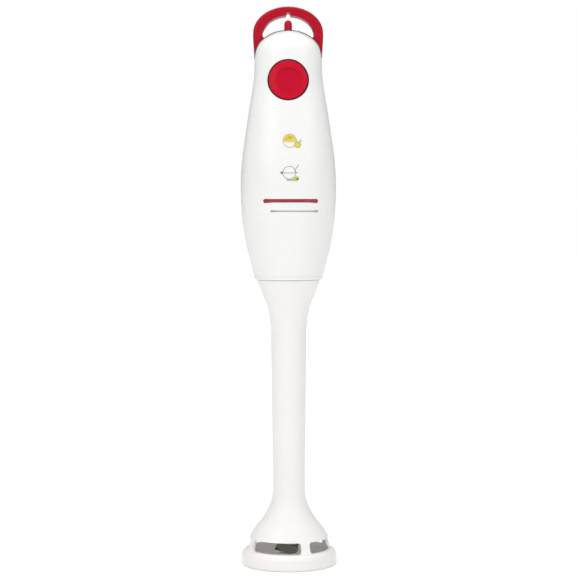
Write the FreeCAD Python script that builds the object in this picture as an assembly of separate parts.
import FreeCAD, Part
import math
import os

# Immersion blender: a two-shell handle with a thumb button and a hanging loop, a motor with
# its rectifier board inside, and a fixed plastic leg that ends in a windowed bell guard.
# Millimetres. +Z runs up the drive axis, the bell's rim stands on Z = 0, and the button
# faces -Y.

V = FreeCAD.Vector

# ---------------------------------------------------------------- driving dimensions
SEAM_Z = 197.2  # lower edge of the handle shells
SHOULDER_Z = 351.0  # where the handle's side turns into the dome
SHOULDER_A = 22.9  # half width at the shoulder
DOME_H = 17.4
WALL = 2.2
PARTING_GAP = 0.16
BEAD_Z = 199.3  # a fine groove just above the seam
RUN_GAP = 0.05  # radial running clearance of shafts in bushes

# Half width of the handle at each height, from the seam to the shoulder.
HANDLE_PROFILE = [
    (23.4, SEAM_Z),
    (26.1, 208.0),
    (28.5, 218.5),
    (30.9, 232.0),
    (32.3, 247.0),
    (32.8, 262.0),
    (32.0, 278.0),
    (29.9, 294.0),
    (27.4, 311.0),
    (24.9, 326.0),
    (23.3, 339.0),
]

BUTTON_Z = 332.7
BUTTON_R = 13.4
BUTTON_GAP = 0.7  # round the button in the front shell
BUTTON_TRAVEL = 2.5
BUTTON_FLANGE_R = 16.2  # the flange that keeps the button in
BUTTON_BORE_R = 12.4
SLEEVE_END_Y = -10.5
BUTTON_FACE_Y = -23.3
BUTTON_TILT_DEG = 5.5  # the button's face leans back with the handle's front
BUTTON_CROWN_R = 45.0
DISH_R = 8.2
DISH_EDGE = 1.0  # depth of the thumb dish at its edge and at its middle
DISH_FLOOR = 1.6

LOOP_HALF_Y = 6.35  # half thickness of the hanging loop at its foot
SEAL_THICK = 0.9
SEAL_PROUD = 0.4
LOOP_LEAN_DEG = 2.6  # how much each face of the loop leans in towards its top
LOOP_FOOT_Z = 356.6
LOOP_SPRING_Z = 366.0  # where the loop's sides turn into its arch
LOOP_A = 24.0
LOOP_B = 18.4
LOOP_SIDE = 23.35
LOOP_ROUND = 2.0
LOOP_SADDLE_INSET = 4.9
OPENING_A = 17.5
OPENING_B = 13.3
OPENING_Z = 364.6
BRIDGE_A = 22.4  # half width and height of the loop's bridge between the shells
BRIDGE_B = 16.0
NOTCH_TOP = 379.9
NOTCH_FOOT = 375.0
GLAND_TOP = 374.9
GLAND_R = 2.65
GLAND_HALF = 1.4  # from the gland's middle to the centre of each round side
GLAND_FOOT = 359.6
GLAND_FLANGE_H = 1.6
PASSAGE_R = 1.8
PASSAGE_TOP = 372.0

LEG_TOP_R = 22.0
NECK_R = 20.9
NECK_TOP = 206.0
RIM_R = 32.6
WINDOW_Z = (11.0, 18.7)
WINDOW_ROUND = 2.2
WINDOW_RIB_DEG = 23.6  # the first rib's centre, measured from the front towards +X
WINDOW_SPAN_DEG = 77.2

MOTOR_R = 21.0
MOTOR_BOTTOM = 214.0
MOTOR_TOP = 270.0
MOUNT_RING_R = 24.0
ROTOR_SHAFT_R = 2.5
DRIVE_SHAFT_R = 3.0
SHAFT_TOP = 195.0
SHAFT_FOOT = 10.2
HUB_R = 9.0  # the hub that hangs from the bell's ceiling
HUB_FOOT = 25.0
CEILING_Z = 32.6
SEAL_R = 7.2
LEG_BUSH_R = 6.0
LEG_BUSH_Z = (32.5, 45.0)
BLADE_Z = 13.0
BLADE_THICK = 1.2
BLADE_DISC_R = 7.2
BLADE_PITCH_DEG = 10.0
LOW_TIP_Z = 10.4
HIGH_TIP_Z = 15.6
NUT_FOOT = 9.4
COUPLING_TOP = 199.0  # top of the leg's half of the coupling

SIDE_SCREW = (26.0, 258.0)  # x and z of the two screws beside the motor
TOP_SCREW = (15.0, 317.0)  # x and z of the two screws beside the switch
LEAD_TOP = BUTTON_Z - 17.3  # where the leads meet the switch's tabs
SWITCH_HALF_H = 9.9
PLUNGER_R = 1.65
PLUNGER_FRONT = -3.5
PLUNGER_BACK = 3.2
BOARD_Y = 9.0
BOARD_THICK = 1.6
BOARD_HOLES = [(x, z) for x in (-10, 10) for z in (291, 310)]
CLAMP_SCREW_X = 8.5
CLAMP_Z = 356.0
TERMINAL_X = 4.6
TERMINAL_Z = 299.5

PARTS = {}


# ---------------------------------------------------------------- helpers
def add(name, *shapes):
    """Keeps the solids of a node under its name."""
    PARTS[name] = [solid for shape in shapes for solid in shape.Solids]


def box(x0, x1, y0, y1, z0, z1):
    return Part.makeBox(x1 - x0, y1 - y0, z1 - z0, V(x0, y0, z0))


def cyl_z(r, z0, z1, x=0.0, y=0.0):
    return Part.makeCylinder(r, z1 - z0, V(x, y, z0))


def cyl_y(r, y0, y1, x, z):
    return Part.makeCylinder(r, y1 - y0, V(x, y0, z), V(0, 1, 0))


def cyl_x(r, x0, x1, y, z):
    return Part.makeCylinder(r, x1 - x0, V(x0, y, z), V(1, 0, 0))


def ring_z(r_out, r_in, z0, z1):
    return cyl_z(r_out, z0, z1).cut(cyl_z(r_in, z0 - 1, z1 + 1))


def fuse_all(shapes):
    return shapes[0].multiFuse(shapes[1:]).removeSplitter()


def turn(shape, degrees):
    turned = shape.copy()
    turned.rotate(V(0, 0, 0), V(0, 0, 1), degrees)
    return turned


def lines(points):
    """Straight edges through points given as (x, z)."""
    corners = [V(x, 0, z) for x, z in points]
    return [Part.makeLine(a, b) for a, b in zip(corners, corners[1:])]


def arc(a, middle, b):
    return Part.Arc(*[V(x, 0, z) for x, z in (a, middle, b)]).toShape()


def curve(points, start=None, end=None):
    """A smooth edge through points given as (x, z), with optional end directions."""
    spline = Part.BSplineCurve()
    places = [V(x, 0, z) for x, z in points]
    if start:
        first = V(start[0], 0, start[1])
        last = V(end[0], 0, end[1])
        spline.interpolate(Points=places, InitialTangent=first, FinalTangent=last)
    else:
        spline.interpolate(places)
    return spline.toShape()


def revolve(edges, degrees=360.0):
    face = Part.Face(Part.Wire(edges))
    return face.revolve(V(0, 0, 0), V(0, 0, 1), degrees)


def prism_y(edges, y0, y1):
    """A prism along Y from edges drawn in the XZ plane."""
    face = Part.Face(Part.Wire(edges))
    face.translate(V(0, y0, 0))
    return face.extrude(V(0, y1 - y0, 0))


def smoothstep(low, high, value):
    t = min(1.0, max(0.0, (value - low) / (high - low)))
    return t * t * (3 - 2 * t)


def wire_lead(points, radius):
    """A round lead along straight runs joined by the largest tangent arcs that fit."""
    p = [V(*q) for q in points]
    edges = []
    start = p[0]
    for before, corner, after in zip(p, p[1:], p[2:]):
        back = (before - corner).normalize()
        ahead = (after - corner).normalize()
        turn_half = (math.pi - back.getAngle(ahead)) / 2
        set_back = 0.45 * min((before - corner).Length, (after - corner).Length)
        arc_r = set_back / math.tan(turn_half)
        a = corner + back * set_back
        b = corner + ahead * set_back
        centre_line = (back + ahead).normalize()
        middle = corner + centre_line * (arc_r / math.cos(turn_half) - arc_r)
        edges.append(Part.LineSegment(start, a).toShape())
        edges.append(Part.Arc(a, middle, b).toShape())
        start = b
    edges.append(Part.LineSegment(start, p[-1]).toShape())
    path = Part.Wire(edges)
    section = Part.Wire(Part.Circle(p[0], p[1] - p[0], radius).toShape())
    return path.makePipeShell([section], True, True)


def coil(radius, wire_r, pitch, turns):
    """A helical spring that starts at the origin's level and climbs along +Z."""
    helix = Part.makeHelix(pitch, pitch * turns, radius)
    section = Part.Wire(Part.Circle(V(radius, 0, 0), V(0, 1, 0), wire_r).toShape())
    return Part.Wire(helix.Edges).makePipeShell([section], True, True)


def pan_screw(head_r, head_h, shank_r, length):
    """A cross-head screw along +Y with its head's underside at the origin."""
    head = cyl_y(head_r, -head_h, 0, 0, 0)
    head = head.makeFillet(head_h * 0.45, [head.Edges[k] for k in rim_edges(head, -head_h)])
    shank = cyl_y(shank_r, 0, length - 1.5, 0, 0)
    tip = Part.makeCone(shank_r, 0.3, 1.5, V(0, length - 1.5, 0), V(0, 1, 0))
    slot_w = head_r * 0.28
    slot_l = head_r * 0.62
    deep = head_h * 0.6
    cross = box(-slot_l, slot_l, -head_h - 1, -head_h + deep, -slot_w, slot_w)
    cross = cross.fuse(box(-slot_w, slot_w, -head_h - 1, -head_h + deep, -slot_l, slot_l))
    return fuse_all([head, shank, tip]).cut(cross)


def rim_edges(shape, y):
    """Indexes of the circular edges that lie in the plane at this y."""
    found = []
    for k, edge in enumerate(shape.Edges):
        bounds = edge.BoundBox
        if abs(bounds.YMin - y) < 1e-6 and abs(bounds.YMax - y) < 1e-6:
            found.append(k)
    return found


# ---------------------------------------------------------------- the handle's form
def handle_curve():
    """The handle's side outline, from the seam over the shoulder to the dome's top."""
    dome = []
    for degrees in (0, 16, 32, 48, 62, 74, 84):
        t = math.radians(degrees)
        dome.append((SHOULDER_A * math.cos(t), SHOULDER_Z + DOME_H * math.sin(t)))
    spline = Part.BSplineCurve()
    spline.interpolate([V(a, 0, z) for a, z in HANDLE_PROFILE + dome])
    return spline


def section_wire(a, b, z):
    """A closed rounded section: an ellipse at the ends, squarer round the button."""
    square = smoothstep(215, 300, z) * (1 - smoothstep(352, 370, z))
    power = 2 / (2.0 + 0.35 * square)
    points = []
    count = 24
    for k in range(count):
        t = math.radians(90) + 2 * math.pi * k / count
        c, s = math.cos(t), math.sin(t)
        x = a * math.copysign(abs(c) ** power, c) if abs(c) > 1e-9 else 0.0
        y = b * math.copysign(abs(s) ** power, s) if abs(s) > 1e-9 else 0.0
        points.append(V(x, y, z))
    spline = Part.BSplineCurve()
    steps = [k / count for k in range(count + 1)]
    spline.interpolate(Points=points, PeriodicFlag=True, Parameters=steps)
    return Part.Wire(spline.toShape())


def envelope(inset):
    """The handle's solid form, moved inwards by inset."""
    spline = handle_curve()
    length = spline.length()
    count = 30
    wires = []
    for k in range(count + 1):
        u = spline.parameterAtDistance(length * k / count, spline.FirstParameter)
        point = spline.value(u)
        along = spline.tangent(u)[0]
        a = point.x - inset * along.z
        z = point.z + inset * along.x
        depth = 1 - 0.07 * smoothstep(SEAM_Z, 250, point.z)
        b = point.x * depth - inset * along.z
        wires.append(section_wire(a, b, z))
    return Part.makeLoft(wires, True, False)


OUTER = envelope(0.0)
CAVITY = envelope(WALL)
IN_WALL = envelope(WALL * 0.5)  # ends inside the wall, so that what meets it joins it


def loop_tongue(half_y):
    """The upright tongue, round at its foot, that the loop fills between the shells."""
    lean = math.radians(LOOP_LEAN_DEG)
    top = LOOP_SPRING_Z + LOOP_B + 2
    touch_y = half_y * math.cos(lean)
    touch_z = LOOP_FOOT_Z + half_y * math.sin(lean)
    top_y = touch_y - (top - touch_z) * math.tan(lean)
    foot = Part.Arc(V(0, -touch_y, touch_z), V(0, 0, LOOP_FOOT_Z - half_y), V(0, touch_y, touch_z))
    edges = [
        Part.makeLine(V(0, touch_y, touch_z), V(0, top_y, top)),
        Part.makeLine(V(0, top_y, top), V(0, -top_y, top)),
        Part.makeLine(V(0, -top_y, top), V(0, -touch_y, touch_z)),
        foot.toShape(),
    ]
    face = Part.Face(Part.Wire(edges))
    face.translate(V(-40, 0, 0))
    return face.extrude(V(80, 0, 0))


# ---------------------------------------------------------------- handle shells
def shell_blank():
    """The whole hollow handle, with the ribs that hold the motor and the leg's neck."""
    opening = cyl_z(NECK_R + 0.1, SEAM_Z - 1, SEAM_Z + 3)
    blank = OUTER.cut(CAVITY).cut(opening)
    ribs = [
        (200.4, 202.6, NECK_R - 1.3),  # enters the groove in the leg's neck
        (214.5, 217.0, MOUNT_RING_R),
        (218.6, 220.6, MOTOR_R + 0.3),
        (262.5, 264.5, MOTOR_R + 0.3),
        (266.0, 268.5, MOUNT_RING_R),
    ]
    plates = []
    for z0, z1, hole_r in ribs:
        slab = IN_WALL.common(box(-40, 40, -40, 40, z0, z1))
        plates.append(slab.cut(cyl_z(hole_r, z0 - 1, z1 + 1)))
    return blank.multiFuse(plates)


def screw_places():
    """x and z of each shell screw."""
    return [(s * x, z) for x, z in (SIDE_SCREW, TOP_SCREW) for s in (-1, 1)]


def alignment_lip(outer_inset, inner_inset, depth):
    """A thin band inside the joint line, which the rear shell carries into the front one."""
    band = box(-40, 40, -depth, 0.4, SEAM_Z + 8, 340)
    outer_face = envelope(outer_inset).common(band)
    return outer_face.cut(envelope(inner_inset))


def make_shells():
    blank = shell_blank()
    slot = loop_tongue(LOOP_HALF_Y + SEAL_THICK + 0.15)
    groove = OUTER.cut(envelope(0.3)).common(box(-40, 40, -40, 40, BEAD_Z, BEAD_Z + 0.4))
    blank = blank.cut(groove)
    front = blank.common(box(-40, 40, -40, -PARTING_GAP / 2, 190, 380)).cut(slot)
    rear = blank.common(box(-40, 40, PARTING_GAP / 2, 40, 190, 380)).cut(slot)
    boss_r = 3.4
    front_bosses = [
        IN_WALL.common(cyl_y(boss_r, -40, -0.05, x, z)) for x, z in screw_places()
    ]
    rear_bosses = [
        IN_WALL.common(cyl_y(boss_r, 0.05, 40, x, z)) for x, z in screw_places()
    ]
    # The sleeve guides the button, and its inner end stops the button's flange.
    sleeve_out = cyl_y(BUTTON_FLANGE_R + 0.6, -30, SLEEVE_END_Y, 0, BUTTON_Z)
    sleeve = sleeve_out.cut(cyl_y(BUTTON_FLANGE_R - 0.7, -31, 0, 0, BUTTON_Z))
    block_rest = IN_WALL.common(box(-5, 5, -40, -14.1, 299, 303))
    front = front.multiFuse(front_bosses + [IN_WALL.common(sleeve), block_rest])
    front = front.cut(cyl_y(BUTTON_R + BUTTON_GAP, -40, -9, 0, BUTTON_Z))
    switch_rest = IN_WALL.common(box(-6.8, 6.8, 3, 40, 327, 343))
    switch_rest = switch_rest.cut(box(-5.2, 5.2, 0, 11.3, 320, 350))
    rest_y = BOARD_Y + BOARD_THICK + 0.1
    board_rests = [IN_WALL.common(cyl_y(2.0, rest_y, 40, x, z)) for x, z in BOARD_HOLES]
    clamp_places = (-CLAMP_SCREW_X, CLAMP_SCREW_X)
    clamp_rests = [IN_WALL.common(cyl_y(2.8, 5.05, 40, x, CLAMP_Z)) for x in clamp_places]
    rear = rear.multiFuse(rear_bosses + board_rests + clamp_rests + [switch_rest])
    for x, z in screw_places():
        pilot = cyl_y(1.25, -7.5, 1, x, z)
        clearance = cyl_y(1.8, -1, 40, x, z)
        well = cyl_y(3.0, 6.0, 40, x, z)
        front = front.cut(pilot)
        rear = rear.cut(clearance).cut(well)
    for x in clamp_places:
        rear = rear.cut(cyl_y(1.05, 4, 11, x, CLAMP_Z))
    front = front.cut(alignment_lip(1.0, 2.5, 1.3))
    rear = rear.fuse(alignment_lip(1.15, 2.0, 1.2).cut(cut_keepouts()))
    rear = rear.cut(vent_slots())
    add("front_shell", front)
    add("rear_shell", rear)


def cut_keepouts():
    """Where the lip stops short: round the screw bosses and at the ribs' ends."""
    keepouts = [cyl_y(4.0, -5, 5, x, z) for x, z in screw_places()]
    keepouts.append(box(-40, 40, -5, 5, 213.5, 221.5))
    keepouts.append(box(-40, 40, -5, 5, 261.5, 269.5))
    return fuse_all(keepouts)


def vent_slots():
    """Five short rounded air slots low on the back."""
    slots = []
    half = 9.0
    slot_r = 0.9
    for k in range(5):
        z = 226.0 + 4.6 * k
        slots.append(box(-half, half, 10, 40, z - slot_r, z + slot_r))
        slots += [cyl_y(slot_r, 10, 40, s * half, z) for s in (-1, 1)]
    return fuse_all(slots)


# ---------------------------------------------------------------- hanging loop and gland
def make_seals():
    """The thin dark seal that runs round the loop between it and both shells."""
    strip = envelope(-SEAL_PROUD).cut(envelope(1.9)).common(box(-40, 40, -40, 40, 340, 380))
    outer = loop_tongue(LOOP_HALF_Y + SEAL_THICK + 0.1)
    inner = loop_tongue(LOOP_HALF_Y + 0.05)
    add("loop_seal", strip.common(outer).cut(inner))


def half_ellipse(a, b, z, step):
    """Points over the upper half of an ellipse, from +a to -a."""
    angles = [math.radians(d) for d in range(0, 181, step)]
    return [(a * math.cos(t), z + b * math.sin(t)) for t in angles]


def make_loop():
    foot = 335.0
    side = [(LOOP_SIDE, foot), (LOOP_SIDE, 342.0), (LOOP_SIDE + 0.05, 351.0), (LOOP_A - 0.2, 359.0)]
    mirrored = [(-x, z) for x, z in side[::-1]]
    arch_points = half_ellipse(LOOP_A, LOOP_B, LOOP_SPRING_Z, 15)
    outline = [
        curve([*side, *arch_points, *mirrored], (0, 1), (0, -1)),
        *lines([(-LOOP_SIDE, foot), (LOOP_SIDE, foot)]),
    ]
    arch = prism_y(outline, -20, 20).common(loop_tongue(LOOP_HALF_Y))
    rims = [e for e in arch.Edges if e.BoundBox.ZMax > 383 and e.BoundBox.XLength > 30]
    arch = arch.makeFillet(LOOP_ROUND, rims)
    upper = half_ellipse(OPENING_A, OPENING_B, OPENING_Z, 18)
    lower = [(-16.9, 363.1), (-15.5, 362.0)]
    lower_mirrored = [(-x, z) for x, z in lower[::-1]]
    opening = prism_y(
        [
            curve([*upper, *lower], (0, 1), (1, -0.4)),
            *lines([lower[-1], lower_mirrored[0]]),
            curve([*lower_mirrored, upper[0]], (1, 0.4), (0, 1)),
        ],
        -20,
        20,
    )
    floor = prism_y(
        [
            curve(half_ellipse(BRIDGE_A, BRIDGE_B, SHOULDER_Z, 15), (0, 1), (0, -1)),
            *lines([(-BRIDGE_A, SHOULDER_Z), (-BRIDGE_A, 330), (BRIDGE_A, 330), (BRIDGE_A, SHOULDER_Z)]),
        ],
        -20,
        20,
    )
    wide, narrow = 2.6, 1.0
    notch_corners = [(-wide, NOTCH_FOOT), (-narrow, NOTCH_TOP), (narrow, NOTCH_TOP), (wide, NOTCH_FOOT)]
    notch = prism_y(lines([*notch_corners, notch_corners[0]]), -20, 20)
    arch = arch.cut(opening.cut(floor)).cut(notch)
    hollow = envelope(LOOP_SADDLE_INSET)
    saddle_zone = box(-40, 40, -9.5, 9.5, 344, 380)
    saddle = envelope(WALL + 0.25).common(saddle_zone)
    loop = arch.fuse(saddle).cut(hollow)
    loop = loop.cut(gland_column(0.12).common(box(-9, 9, -9, 9, 355, 371)))
    add("hanging_loop", loop)


def gland_column(grow):
    """The gland's upright form: a flat-sided column with round front and back."""
    r = GLAND_R + grow
    top = GLAND_TOP + 2 + grow
    ends = [cyl_z(r, 355, top, 0, s * GLAND_HALF) for s in (-1, 1)]
    return fuse_all([*ends, box(-r, r, -GLAND_HALF, GLAND_HALF, 355, top)])


def make_gland():
    r = GLAND_R
    top = GLAND_TOP
    bullet = prism_y(
        [
            *lines([(-r, GLAND_FOOT), (r, GLAND_FOOT), (r, top - r)]),
            arc((r, top - r), (0, top), (-r, top - r)),
            *lines([(-r, top - r), (-r, GLAND_FOOT)]),
        ],
        -10,
        10,
    )
    column = gland_column(0).common(bullet)
    back_slope = box(-9, 9, 0, 12, 0, 12)
    back_slope.rotate(V(0, 0, 0), V(1, 0, 0), -35)
    back_slope.translate(V(0, 3.0, top - 0.2))
    column = column.cut(back_slope)
    flange = box(-4.0, 4.0, -4.8, 4.8, GLAND_FOOT, GLAND_FOOT + GLAND_FLANGE_H)
    gland = fuse_all([column, flange])
    low = GLAND_FOOT - 1
    mouth = PASSAGE_TOP - 3.8
    passage = fuse_all(
        [
            cyl_z(PASSAGE_R, low, PASSAGE_TOP, 0, -0.7),
            cyl_z(PASSAGE_R, low, PASSAGE_TOP, 0, 1.1),
            box(-PASSAGE_R, PASSAGE_R, -0.7, 1.1, low, PASSAGE_TOP),
            box(-PASSAGE_R, PASSAGE_R, 0.6, 8, mouth, PASSAGE_TOP),
        ]
    )
    add("cord_gland", gland.cut(passage))


# ---------------------------------------------------------------- button and switch
def on_button_face(shape):
    """Moves a shape drawn with the button's face at the origin to its place on the handle."""
    shape.rotate(V(0, 0, 0), V(1, 0, 0), -BUTTON_TILT_DEG)
    shape.translate(V(0, BUTTON_FACE_Y, BUTTON_Z))
    return shape


def make_button():
    crown = on_button_face(cyl_z(BUTTON_CROWN_R, -40, 40, 0, BUTTON_CROWN_R))
    cap = cyl_y(BUTTON_R, -40, -9.4, 0, BUTTON_Z).common(crown)
    front_rim = [e for e in cap.Edges if e.BoundBox.YMax < -15 and e.Length > 60]
    cap = cap.makeFillet(0.8, front_rim)
    sag = DISH_FLOOR - DISH_EDGE
    sphere_r = (DISH_R**2 + sag**2) / (2 * sag)
    dish = Part.makeSphere(sphere_r, V(0, DISH_FLOOR - sphere_r, 0))
    cap = cap.cut(on_button_face(dish.common(cyl_y(DISH_R, -3, 3, 0, 0))))
    flange_y = SLEEVE_END_Y + 0.1
    cap = cap.fuse(cyl_y(BUTTON_FLANGE_R, flange_y, flange_y + 1.0, 0, BUTTON_Z))
    cap = cap.cut(cyl_y(BUTTON_BORE_R, -18.0, -8, 0, BUTTON_Z))
    add("button_cap", cap)
    disc = cyl_y(BUTTON_BORE_R - 0.2, -17.9, -16.3, 0, BUTTON_Z)
    stem = cyl_y(2.6, -16.4, PLUNGER_FRONT - 0.1, 0, BUTTON_Z)
    ribs = [
        box(-9.5, 9.5, -16.4, -13.6, BUTTON_Z - 0.6, BUTTON_Z + 0.6),
        box(-0.6, 0.6, -16.4, -13.6, BUTTON_Z - 9.5, BUTTON_Z + 9.5),
    ]
    add("button_carrier", fuse_all([disc, stem, *ribs]))
    spring = coil(4.4, 0.35, 1.6, 7.2)
    spring.rotate(V(0, 0, 0), V(1, 0, 0), -90)
    spring.translate(V(0, -13.1, BUTTON_Z))
    add("button_spring", spring)


def make_switch():
    z0, z1 = BUTTON_Z - SWITCH_HALF_H, BUTTON_Z + SWITCH_HALF_H
    body = box(-5.1, 5.1, -0.8, 11.2, z0, z1)
    body = body.makeFillet(0.5, [e for e in body.Edges if e.BoundBox.ZLength > 5])
    bore_end = PLUNGER_BACK + BUTTON_TRAVEL + 0.5
    body = body.cut(cyl_y(PLUNGER_R + 0.05, -2, bore_end, 0, BUTTON_Z))
    pin_holes = [cyl_x(1.5, -6, 6, 5.2, z) for z in (z0 + 3.2, z1 - 3.2)]
    add("switch_body", body.cut(pin_holes[0]).cut(pin_holes[1]))
    plunger = cyl_y(PLUNGER_R, PLUNGER_FRONT, PLUNGER_BACK, 0, BUTTON_Z)
    nose = [plunger.Edges[k] for k in rim_edges(plunger, PLUNGER_FRONT)]
    add("switch_plunger", plunger.makeFillet(0.5, nose))
    tabs = []
    for y in (2.0, 8.0):
        tab = box(-2.4, 2.4, y - 0.4, y + 0.4, z0 - 7.2, z0)
        tabs.append(tab.cut(cyl_y(0.8, y - 2, y + 2, 0, z0 - 5.0)))
    add("switch_terminals", *tabs)


# ---------------------------------------------------------------- wiring and board
def make_electrics():
    board_y = BOARD_Y
    board = box(-13, 13, board_y, board_y + BOARD_THICK, 288, 313)
    holes = [cyl_y(1.1, board_y - 1, board_y + 3, x, z) for x, z in BOARD_HOLES]
    for hole in holes:
        board = board.cut(hole)
    add("circuit_board", board)
    capacitor = box(-11.8, 0.8, board_y - 6.0, board_y, 296.5, 307.5)
    upright = [e for e in capacitor.Edges if e.BoundBox.ZLength > 5]
    add("suppression_capacitor", capacitor.makeFillet(1.0, upright))
    diodes = []
    for k in range(4):
        z = 296.5 + 3.4 * k
        body = cyl_x(1.35, 5.2, 10.2, board_y - 1.7, z)
        leads = [
            cyl_x(0.35, 4.2, 5.3, board_y - 1.7, z),
            cyl_x(0.35, 10.1, 11.2, board_y - 1.7, z),
            cyl_y(0.28, board_y - 1.8, board_y, 4.6, z),
            cyl_y(0.28, board_y - 1.8, board_y, 10.8, z),
        ]
        diodes.append(fuse_all([body, *leads]))
    add("rectifier_diodes", *diodes)
    chokes = []
    for s in (-1, 1):
        middle = 5.4 * s
        core = cyl_x(1.5, middle - 5.0, middle + 5.0, board_y - 3.2, 292)
        turns = [
            Part.makeTorus(1.82, 0.42, V(middle - 3.6 + 0.9 * k, board_y - 3.2, 292), V(1, 0, 0))
            for k in range(9)
        ]
        chokes.append(fuse_all([core, *turns]))
    add("suppression_chokes", *chokes)
    block = box(-9, 9, -14, -6.5, 296.5, 305.5)
    block = block.makeFillet(0.6, [e for e in block.Edges if e.BoundBox.ZLength > 5])
    screws = []
    for x in (-TERMINAL_X, TERMINAL_X):
        block = block.cut(cyl_z(1.6, 302.0, 306.0, x, -10.2))
        block = block.cut(cyl_y(1.7, -10.0, -6, x, TERMINAL_Z))
        screw = cyl_y(1.6, -9.9, -7.2, x, TERMINAL_Z)
        slot = box(x - 2, x + 2, -7.7, -7.0, TERMINAL_Z - 0.3, TERMINAL_Z + 0.3)
        screws.append(screw.cut(slot))
    add("terminal_block", block)
    add("terminal_screws", *screws)


def make_leads():
    """Each lead as the points its centre line runs through, from one terminal to the other."""
    top = LEAD_TOP
    routes = {
        "live": [(-4.6, -10.2, 302.1), (-4.6, -10.2, 307.5), (-2, -4, 309.5), (0, 2, 311), (0, 2, top)],
        "neutral": [(4.6, -10.2, 302.1), (4.6, -10.2, 308.5), (8, -4, 310.5), (8, 3, 311), (8, 8.95, 311)],
        "switched": [(0, 8, top), (0, 8, 313.2), (1.6, 4.6, 311.7), (2.9, 4.6, 309.0), (2.9, 8.9, 309.0)],
        "motor_left": [(-12, 8.95, 294), (-12, 4.5, 294), (-15, 0.4, 297), (-15.4, 0, 291.2)],
        "motor_right": [(12, 8.95, 294), (12, 4.5, 294), (15, 0.4, 297), (15.4, 0, 291.2)],
    }
    for name, points in routes.items():
        add(f"lead_{name}", wire_lead(points, 0.85))


def make_cord_clamp():
    bar = box(-11.5, 11.5, 1.6, 5.0, CLAMP_Z - 2.4, CLAMP_Z + 2.4)
    bar = bar.makeFillet(0.8, [e for e in bar.Edges if e.BoundBox.YLength > 3])
    bar = bar.cut(box(-2.9, 2.9, 0, 2.6, 350, 360))
    screws = []
    for x in (-CLAMP_SCREW_X, CLAMP_SCREW_X):
        bar = bar.cut(cyl_y(1.5, 0, 6, x, CLAMP_Z))
        screw = pan_screw(2.5, 1.4, 1.05, 9.0)
        screw.translate(V(x, 1.6, CLAMP_Z))
        screws.append(screw)
    add("cord_clamp", bar)
    add("clamp_screws", *screws)


def make_shell_screws():
    screws = []
    for x, z in screw_places():
        screw = pan_screw(2.9, 1.8, 1.25, 12.5)
        screw.rotate(V(0, 0, 0), V(0, 0, 1), 180)
        screw.translate(V(x, 6.0, z))
        screws.append(screw)
    add("shell_screws", *screws)


# ---------------------------------------------------------------- motor
def make_motor():
    wall = 1.2
    can = cyl_z(MOTOR_R, MOTOR_BOTTOM, MOTOR_TOP)
    can = can.makeFillet(1.6, [e for e in can.Edges if e.BoundBox.ZMax < MOTOR_BOTTOM + 0.1])
    can = can.cut(cyl_z(MOTOR_R - wall, MOTOR_BOTTOM + 1.5, MOTOR_TOP + 1))
    can = can.cut(cyl_z(4.5, MOTOR_BOTTOM - 1, MOTOR_BOTTOM + 2))
    for k in range(6):
        vent = cyl_z(2.4, MOTOR_BOTTOM - 1, MOTOR_BOTTOM + 2, 12.0, 0)
        can = can.cut(turn(vent, 60 * k + 30))
    for k in range(4):
        window = box(MOTOR_R - 3, MOTOR_R + 2, -5, 5, 246, 258)
        window = window.makeFillet(1.5, [e for e in window.Edges if e.BoundBox.XLength > 4])
        can = can.cut(turn(window, 90 * k + 45))
    add("motor_can", can)
    magnet_ring = ring_z(MOTOR_R - wall - 0.05, 14.2, 220, 260)
    magnets = [
        magnet_ring.common(box(-30, 30, s * 15 - 13.5, s * 15 + 13.5, 200, 280)) for s in (-1, 1)
    ]
    add("field_magnets", *magnets)
    bush = ring_z(4.5, ROTOR_SHAFT_R + RUN_GAP, 212.6, 219.0)
    add("motor_bush_lower", bush)
    add("motor_bush_upper", ring_z(4.5, ROTOR_SHAFT_R + RUN_GAP, 279.0, 285.0))
    cap_rim = cyl_z(MOTOR_R, MOTOR_TOP, 274.0).fuse(cyl_z(MOTOR_R - wall - 0.05, 267.0, 272.0))
    cap_top = cyl_z(16.5, 274.0, 286.5)
    cap = fuse_all([cap_rim, cap_top])
    cap = cap.makeFillet(1.5, [e for e in cap.Edges if e.BoundBox.ZMin > 286.4])
    cap = cap.cut(cyl_z(13.0, 266.0, 277.2))
    cap = cap.cut(cyl_z(4.5, 277.0, 285.0))
    for s in (-1, 1):
        cap = cap.cut(box(min(s * 6, s * 30), max(s * 6, s * 30), -4.1, 4.1, 266.0, 276.2))
    for k in range(4):
        cap = cap.cut(turn(cyl_z(2.4, 270, 290, 10.5, 0), 90 * k + 45))
    for s in (-1, 1):
        cap = cap.cut(box(s * 14.9 - 1.0, s * 14.9 + 1.0, -2.6, 2.6, 270, 290))
    add("motor_end_cap", cap)
    for name, z0 in (("motor_mount_lower", 214.3), ("motor_mount_upper", 264.8)):
        rubber = ring_z(MOUNT_RING_R - 0.05, MOTOR_R + 0.02, z0, z0 + 3.9)
        add(name, rubber)


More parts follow.
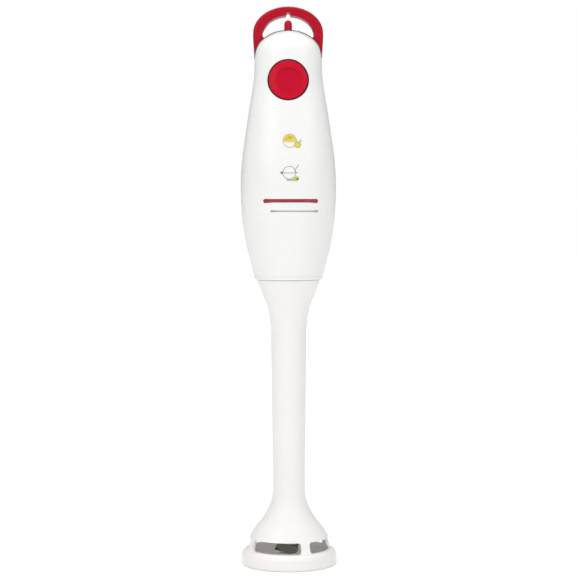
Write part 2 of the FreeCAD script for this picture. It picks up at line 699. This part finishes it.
def make_brushes():
    """Brush boxes at both sides of the commutator, each with its brush and spring."""
    boxes = []
    for s, side in ((-1, "left"), (1, "right")):
        tube = box(8.2, 19.4, -3.9, 3.9, 266.6, 275.9)
        tube = tube.cut(box(7, 18.6, -2.9, 2.9, 267.9, 274.6))
        tab = box(14.5, 15.3, -2.3, 2.3, 275.8, 291.0).cut(cyl_x(0.8, 10, 20, 0, 289.0))
        holder = fuse_all([tube, tab])
        brush = box(7.1, 14.0, -2.8, 2.8, 268.0, 274.5)
        brush = brush.cut(cyl_z(7.05, 266, 276))
        spring = coil(1.9, 0.25, 0.75, 5.4)
        spring.rotate(V(0, 0, 0), V(0, 1, 0), 90)
        spring.translate(V(14.3, 0, 271.25))
        if s < 0:
            holder, brush, spring = (
                shape.mirror(V(0, 0, 0), V(1, 0, 0)) for shape in (holder, brush, spring)
            )
        boxes.append(holder)
        add(f"brush_{side}", brush)
        add(f"brush_spring_{side}", spring)
    add("brush_holders", *boxes)


def make_rotor():
    shaft = cyl_z(ROTOR_SHAFT_R, 202.0, 284.6)
    add("rotor_shaft", shaft)
    slots = 12
    core = cyl_z(13.6, 224.0, 256.0).cut(cyl_z(ROTOR_SHAFT_R, 200, 290))
    windings = []
    for k in range(slots):
        angle = 360 / slots * k
        slot = cyl_z(1.75, 223, 257, 10.4, 0).fuse(box(10.4, 15, -0.6, 0.6, 223, 257))
        core = core.cut(turn(slot, angle))
        windings.append(turn(cyl_z(1.7, 222.0, 258.0, 10.4, 0), angle))
    add("rotor_core", core)
    for z0, z1 in ((219.6, 223.9), (256.1, 260.6)):
        bulge = ring_z(12.6, 4.6, z0, z1)
        windings.append(bulge.makeFillet(1.3, bulge.Edges))
    add("rotor_windings", fuse_all(windings))
    sleeves = [ring_z(4.4, ROTOR_SHAFT_R, z0, z1) for z0, z1 in ((256.1, 265.4), (219.2, 223.9))]
    add("insulating_sleeve", *sleeves)
    bars = []
    bar_count = 12
    segment = ring_z(7.0, 4.7, 265.8, 276.6)
    half_slot = 0.25
    for k in range(bar_count):
        wedge = segment.common(wedge_z(360 / bar_count * k, 360 / bar_count, half_slot))
        bars.append(wedge)
    add("commutator_bars", *bars)
    add("commutator_core", ring_z(4.65, ROTOR_SHAFT_R, 265.5, 276.8))
    hub = ring_z(4.6, ROTOR_SHAFT_R, 207.2, 211.8)
    plate = ring_z(16.6, 4.5, 207.2, 208.2)
    blades = []
    for k in range(9):
        blade = box(4.2, 16.4, -0.5, 0.5, 208.0, 211.4)
        blade.rotate(V(4.2, 0, 0), V(0, 0, 1), 22)
        blades.append(turn(blade, 40 * k))
    add("cooling_fan", fuse_all([hub, plate, *blades]))
    disc = cyl_z(7.0, 200.2, 206.6)
    tang = box(-6.4, 6.4, -1.85, 1.85, 195.6, 200.4)
    tang = tang.common(cyl_z(6.6, 190, 210))
    coupling = fuse_all([disc, tang]).cut(cyl_z(ROTOR_SHAFT_R, 202.0, 210))
    add("motor_coupling", coupling)


def wedge_z(start, span, half_gap):
    """A sector of a disc, narrowed by a constant gap along its two flanks."""
    reach = 30.0
    a = math.radians(start)
    b = math.radians(start + span)
    points = [V(0, 0, 0), V(reach * math.cos(a), reach * math.sin(a), 0)]
    points += [V(reach * math.cos(b), reach * math.sin(b), 0), V(0, 0, 0)]
    middle = (a + b) / 2
    shift = half_gap / math.sin(math.radians(span / 2))
    face = Part.Face(Part.makePolygon(points))
    wedge = face.extrude(V(0, 0, 400))
    wedge.translate(V(shift * math.cos(middle), shift * math.sin(middle), 0))
    return wedge


# ---------------------------------------------------------------- leg, bell and blade
def leg_outline():
    """The leg's outer side, from the seam down its taper and over the bell to the rim."""
    tube_top = (12.45, 158.0)
    tube_bottom = (11.05, 62.0)
    down = (tube_bottom[0] - tube_top[0], tube_bottom[1] - tube_top[1])
    neck_points = [(LEG_TOP_R, 196.9), (19.9, 191.0), (17.5, 185.0), (15.3, 179.0), (13.7, 173.0)]
    neck = curve([*neck_points, (12.9, 167.0), tube_top], (-2.1, -5.9), down)
    shoulder = (29.9, 10.4)
    bell = curve(
        [
            tube_bottom,
            (11.15, 54.0),
            (12.1, 44.5),
            (15.0, 37.2),
            (17.3, 33.3),
            (19.9, 29.6),
            (22.8, 26.2),
            (25.3, 22.4),
            (27.3, 18.8),
            (28.4, 15.0),
            shoulder,
        ],
        down,
        (0.35, -1),
    )
    step_foot = (RIM_R, 7.0)
    step = arc(shoulder, (31.7, 9.1), step_foot)
    foot_round = 1.8
    rim = lines([step_foot, (RIM_R, foot_round)])
    corner = arc(
        (RIM_R, foot_round),
        (RIM_R - foot_round * 0.293, foot_round * 0.293),
        (RIM_R - foot_round, 0),
    )
    return [neck, *lines([tube_top, tube_bottom]), bell, step, *rim, corner]


def bell_cavity():
    """The open space under the bell, round the hub that hangs from its ceiling."""
    upper_points = [(13.4, CEILING_Z), (16.4, 30.8), (18.3, 28.2), (21.1, 24.9)]
    lower_points = [(23.5, 21.3), (25.4, 18.0), (26.4, 14.4), (27.8, 9.7)]
    ceiling = curve(upper_points + lower_points, (1, -0.35), (0.3, -1))
    edges = [
        *lines([(0, -2), (0, HUB_FOOT), (HUB_R, HUB_FOOT), (HUB_R, CEILING_Z), (13.4, CEILING_Z)]),
        ceiling,
        *lines([(27.8, 9.7), (29.4, 7.9), (29.4, 0.6), (29.9, 0), (29.9, -2), (0, -2)]),
    ]
    return revolve(edges)


def window_cutter(centre_deg):
    """One window's space, as a curved slot with rounded corners through the bell's wall."""
    z0, z1 = WINDOW_Z
    edges = lines([(22, z0), (38, z0), (38, z1), (22, z1), (22, z0)])
    slot = revolve(edges, WINDOW_SPAN_DEG)
    corners = []
    for edge in slot.Edges:
        straight = isinstance(edge.Curve, Part.Line)
        if straight and edge.BoundBox.ZLength < 1e-6:
            corners.append(edge)
    slot = slot.makeFillet(WINDOW_ROUND, corners)
    # The revolve starts on +X; the front is -Y.
    return turn(slot, centre_deg - 90 - WINDOW_SPAN_DEG / 2)


def make_leg():
    outline = leg_outline()
    top = lines(
        [
            (LEG_TOP_R, 196.9),
            (NECK_R, 196.9),
            (NECK_R, 200.2),
            (NECK_R - 1.6, 200.2),
            (NECK_R - 1.6, 202.8),
            (NECK_R, 202.8),
            (NECK_R, NECK_TOP),
            (0, NECK_TOP),
            (0, 0),
            (RIM_R - 1.8, 0),
        ]
    )
    solid = revolve([*top[::-1], *outline])
    bore = revolve(
        lines(
            [
                (0, 46.0),
                (8.7, 46.0),
                (9.9, 158.0),
                (10.4, 158.0),
                (10.4, 172.0),
                (14.3, 183.0),
                (17.7, 192.0),
                (18.2, 197.0),
                (18.2, 212.0),
                (0, 212.0),
                (0, 46.0),
            ]
        )
    )
    leg = solid.cut(bore).cut(bell_cavity())
    bush_foot, bush_top = LEG_BUSH_Z
    leg = leg.cut(cyl_z(LEG_BUSH_R, bush_foot, bush_top + 2)).cut(cyl_z(SEAL_R, 20, bush_foot))
    for k in range(4):
        leg = leg.cut(window_cutter(WINDOW_RIB_DEG + 45 + 90 * k))
    add("leg_casing", leg)
    add("leg_bush_lower", ring_z(LEG_BUSH_R, DRIVE_SHAFT_R + RUN_GAP, bush_foot, bush_top))
    seal = ring_z(SEAL_R, DRIVE_SHAFT_R + 0.08, 26.2, bush_foot - 0.1)
    seal = seal.cut(ring_z(6.0, 4.2, 25, 29.5))
    add("shaft_seal", seal)
    carrier = ring_z(10.35, 5.0, 158.1, 169.0)
    for k in range(6):
        carrier = carrier.cut(turn(cyl_z(1.6, 150, 180, 7.7, 0), 60 * k))
    add("bearing_carrier", carrier)
    add("leg_bush_upper", ring_z(5.0, DRIVE_SHAFT_R + RUN_GAP, 157.6, 169.6))


def make_drive():
    shaft = cyl_z(DRIVE_SHAFT_R, SHAFT_FOOT, SHAFT_TOP)
    groove = ring_z(5, 2.5, 173.2, 174.2)
    add("drive_shaft", shaft.cut(groove))
    washer = ring_z(5.2, DRIVE_SHAFT_R, 170.4, 171.2)
    clip = ring_z(4.8, 2.52, 173.3, 174.1).cut(box(0, 9, -1.3, 1.3, 170, 180))
    add("thrust_washer", washer)
    add("retaining_clip", clip)
    socket = cyl_z(7.5, 183.0, COUPLING_TOP)
    socket = socket.makeFillet(0.8, [e for e in socket.Edges if e.BoundBox.ZMin > COUPLING_TOP - 0.1])
    socket = socket.cut(box(-9, 9, -2.0, 2.0, 195.2, 205))
    socket = socket.cut(cyl_z(DRIVE_SHAFT_R, 180, SHAFT_TOP))
    for k in range(4):
        socket = socket.cut(turn(box(6.9, 9, -1.2, 1.2, 180, 193), 90 * k + 45))
    add("leg_coupling", socket)
    hub = cyl_z(6.4, BLADE_Z + BLADE_THICK, 24.4)
    hub = hub.makeFillet(1.0, [e for e in hub.Edges if e.BoundBox.ZMin > 24.3])
    add("blade_hub", hub.cut(cyl_z(DRIVE_SHAFT_R, 10, 30)))
    add("blade", make_blade())
    nut = cyl_z(4.6, NUT_FOOT, BLADE_Z)
    nut = nut.makeFillet(1.4, [e for e in nut.Edges if e.BoundBox.ZMax < NUT_FOOT + 0.1])
    add("blade_nut", nut.cut(cyl_z(DRIVE_SHAFT_R, SHAFT_FOOT, 30)))


def blade_wing(tip_z):
    """One wing: a swept plate along +X, pressed up or down, ground on its leading flank."""
    thick = BLADE_THICK
    bend_x, knee_x, end_x = 8.5, 20.5, 23.0
    under = [(0, BLADE_Z), (bend_x, BLADE_Z), (knee_x, tip_z), (end_x, tip_z)]
    over = [(x, z + thick) for x, z in under[::-1]]
    profile = prism_y(lines([*under, *over, under[0]]), -12, 12)
    plan_points = [
        (0, -6.6),
        (6, -7.2),
        (13, -8.4),
        (19.6, -7.4),
        (21.0, -3.0),
        (19.4, 3.4),
        (15.0, 7.0),
        (8.0, 6.8),
        (0, 6.6),
    ]
    outline = Part.BSplineCurve()
    outline.interpolate([V(x, y, 0) for x, y in plan_points])
    closing = Part.makeLine(V(0, 6.6, 0), V(0, -6.6, 0))
    plan = Part.Face(Part.Wire([outline.toShape(), closing])).extrude(V(0, 0, 40))
    wing = profile.common(plan)
    flanks = [e for e in wing.Edges if e.Length > 12 and e.BoundBox.YMax < -5]
    upper = max(flanks, key=lambda e: e.BoundBox.Center.z)
    wing = wing.makeChamfer(thick * 0.6, [upper])
    wing.rotate(V(0, 0, BLADE_Z + thick / 2), V(1, 0, 0), -BLADE_PITCH_DEG)
    return wing.cut(cyl_z(BLADE_DISC_R, 0, 40))


def make_blade():
    turn_at_rest = -94.0
    low_wing = turn(blade_wing(LOW_TIP_Z), turn_at_rest)
    high_wing = turn(blade_wing(HIGH_TIP_Z), turn_at_rest + 180)
    disc = cyl_z(BLADE_DISC_R, BLADE_Z, BLADE_Z + BLADE_THICK)
    return fuse_all([low_wing, high_wing, disc.cut(cyl_z(DRIVE_SHAFT_R, 10, 30))])


# ---------------------------------------------------------------- everything
make_shells()
make_loop()
make_gland()
make_seals()
make_button()
make_switch()
make_electrics()
make_leads()
make_cord_clamp()
make_shell_screws()
make_motor()
make_brushes()
make_rotor()
make_leg()
make_drive()

os.makedirs("parts", exist_ok=True)
for name, solids in PARTS.items():
    shape = solids[0] if len(solids) == 1 else Part.makeCompound(solids)
    shape.exportStep(f"parts/{name}.step")
    sizes = [round(v, 2) for v in (shape.BoundBox.ZMin, shape.BoundBox.ZMax)]
    print(name, len(solids), "solids", round(shape.Volume), "mm3", "z", sizes, shape.isValid())
